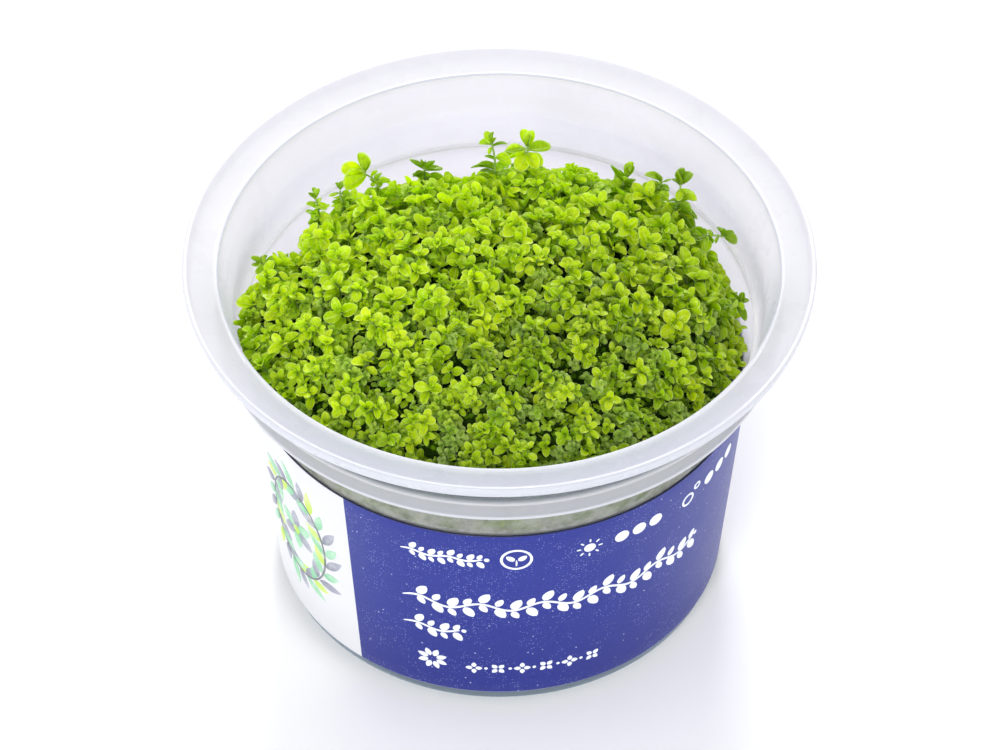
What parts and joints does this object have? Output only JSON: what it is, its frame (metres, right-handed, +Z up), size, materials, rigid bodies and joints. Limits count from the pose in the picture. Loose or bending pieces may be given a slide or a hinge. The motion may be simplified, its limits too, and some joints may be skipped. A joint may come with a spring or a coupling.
{
  "type": "dwarf baby tears in a tissue-culture cup",
  "caption": "Cushion of tiny round-leaved creeping plants domed in an open, milky round plastic culture cup with a wide dished rim and a film label round its wall.",
  "frame": {"origin": "centre of the underside of the cup, on the surface it stands on", "axes": "+Z up along the cup's axis; -Y towards the side of the cup with the pictograms, +X to the right seen from there"},
  "size_m": [0.1, 0.1, 0.0801],
  "materials": {
    "cup_plastic": "milky see-through polypropylene with a soft moulded gloss",
    "label_film": "deep blue printed film with a satin face and plain white pictograms",
    "gel": "clear to cloudy nutrient gel, wet",
    "foliage": "fresh yellow-green to mid-green leaves with a soft sheen, thin enough to glow where light passes through"
  },
  "bodies": {
    "root": {"cup": "cup_plastic", "label": "label_film", "culture_gel": "gel", "cushion": "foliage", "sprig_01": "foliage", "sprig_02": "foliage", "sprig_03": "foliage", "sprig_04": "foliage", "sprig_05": "foliage", "sprig_06": "foliage", "sprig_07": "foliage", "sprig_08": "foliage", "sprig_09": "foliage", "sprig_10": "foliage", "sprig_11": "foliage", "sprig_12": "foliage"}
  },
  "joints": []
}
